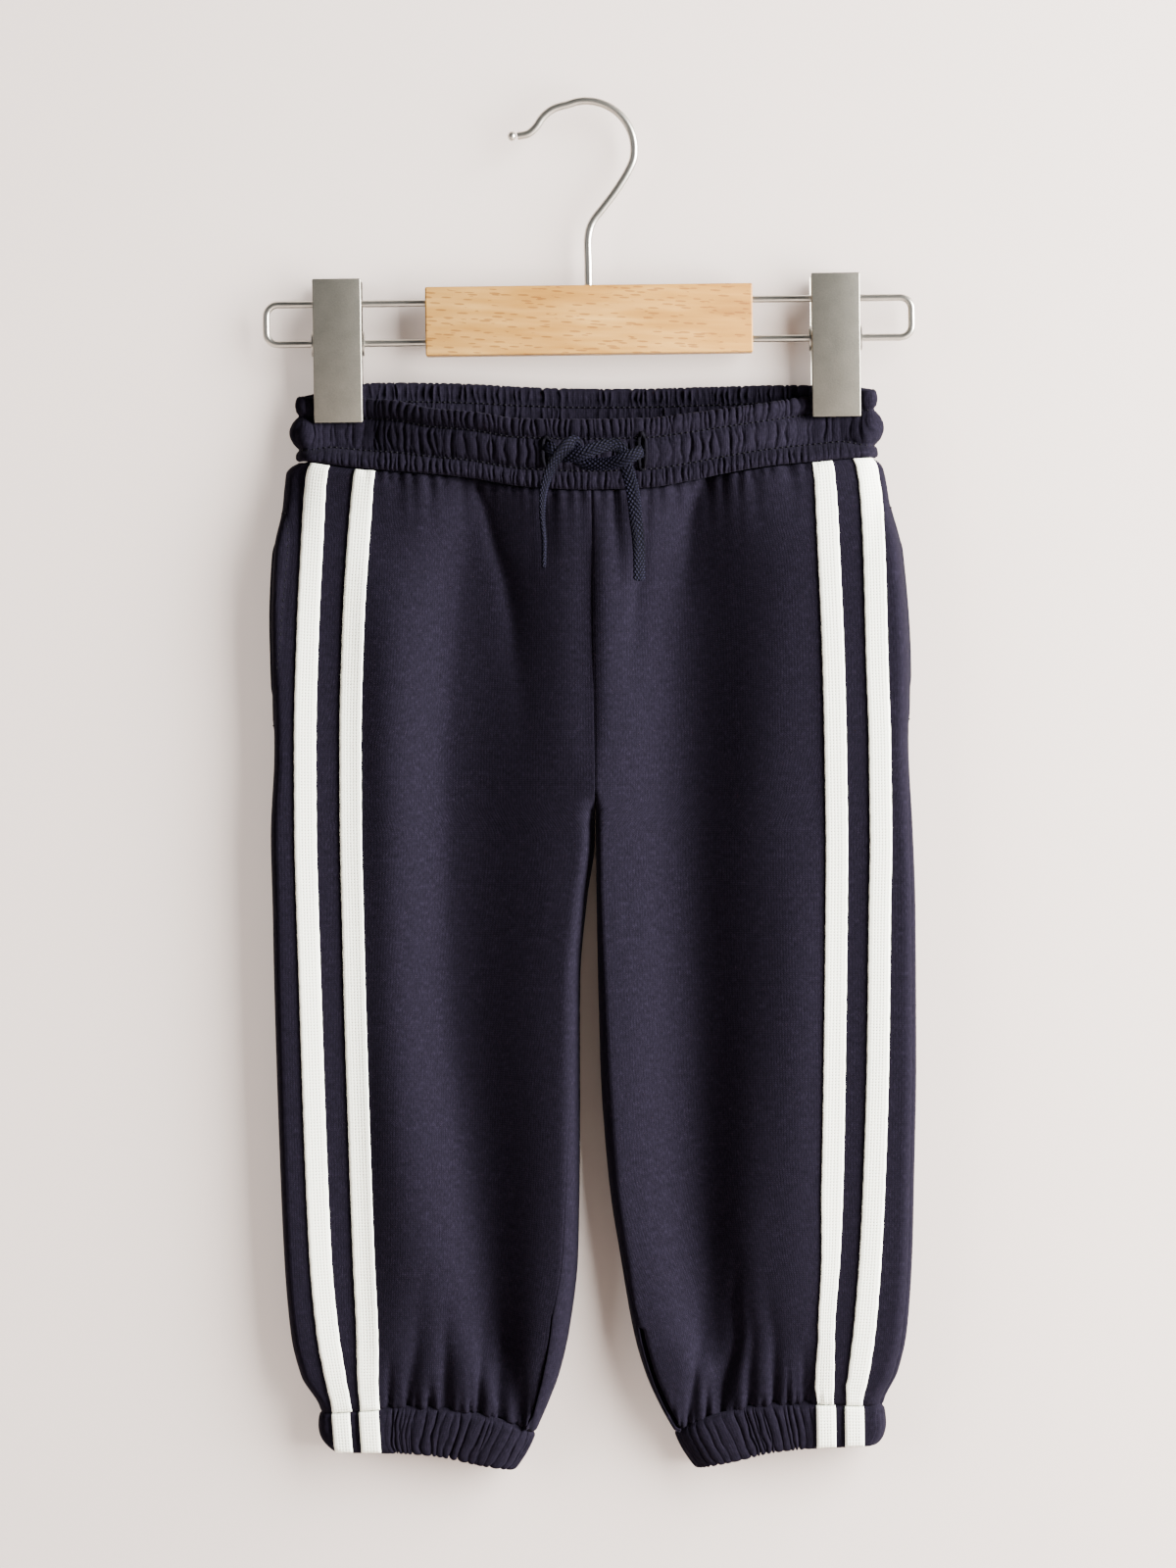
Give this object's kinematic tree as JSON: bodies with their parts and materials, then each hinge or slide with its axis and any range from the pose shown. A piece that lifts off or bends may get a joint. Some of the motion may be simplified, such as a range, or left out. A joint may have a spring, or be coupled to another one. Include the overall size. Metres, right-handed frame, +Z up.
{
  "type": "jogger sweatpants on a clip hanger",
  "caption": "Child's jogger sweatpants with a gathered drawstring waist, side tapes, side pockets and elastic cuffs, hung from a wood and wire clip hanger.",
  "frame": {"origin": "inside of the hanger hook's crown, where it hangs", "axes": "+Z up; the garment's front faces -Y; the wearer's left is towards +X"},
  "size_m": [0.2796, 0.0395, 0.5877],
  "materials": {
    "navy_jersey": "matt brushed jersey",
    "navy_rib": "matt gathered jersey",
    "navy_braid": "matt flat braid",
    "white_tape": "fine ribbed tape",
    "satin_nickel": "satin",
    "beech": "clear satin varnish"
  },
  "bodies": {
    "root": {"waistband": "navy_jersey", "right_front_panel": "navy_jersey", "right_back_panel": "navy_jersey", "left_front_panel": "navy_jersey", "left_back_panel": "navy_jersey", "right_cuff": "navy_rib", "left_cuff": "navy_rib", "right_pocket_facing": "navy_jersey", "left_pocket_facing": "navy_jersey", "right_outer_tape": "white_tape", "right_inner_tape": "white_tape", "left_outer_tape": "white_tape", "left_inner_tape": "white_tape", "right_outer_cuff_tape": "white_tape", "right_inner_cuff_tape": "white_tape", "left_outer_cuff_tape": "white_tape", "left_inner_cuff_tape": "white_tape", "drawcord_right_end": "navy_braid", "drawcord_left_end": "navy_braid", "hanger_hook": "satin_nickel", "hanger_hook_ball": "satin_nickel", "hanger_wire": "satin_nickel", "hanger_block": "beech", "right_clip_front_jaw": "satin_nickel", "right_clip_back_jaw": "satin_nickel", "right_clip_spring": "satin_nickel", "left_clip_front_jaw": "satin_nickel", "left_clip_back_jaw": "satin_nickel", "left_clip_spring": "satin_nickel"}
  },
  "joints": []
}
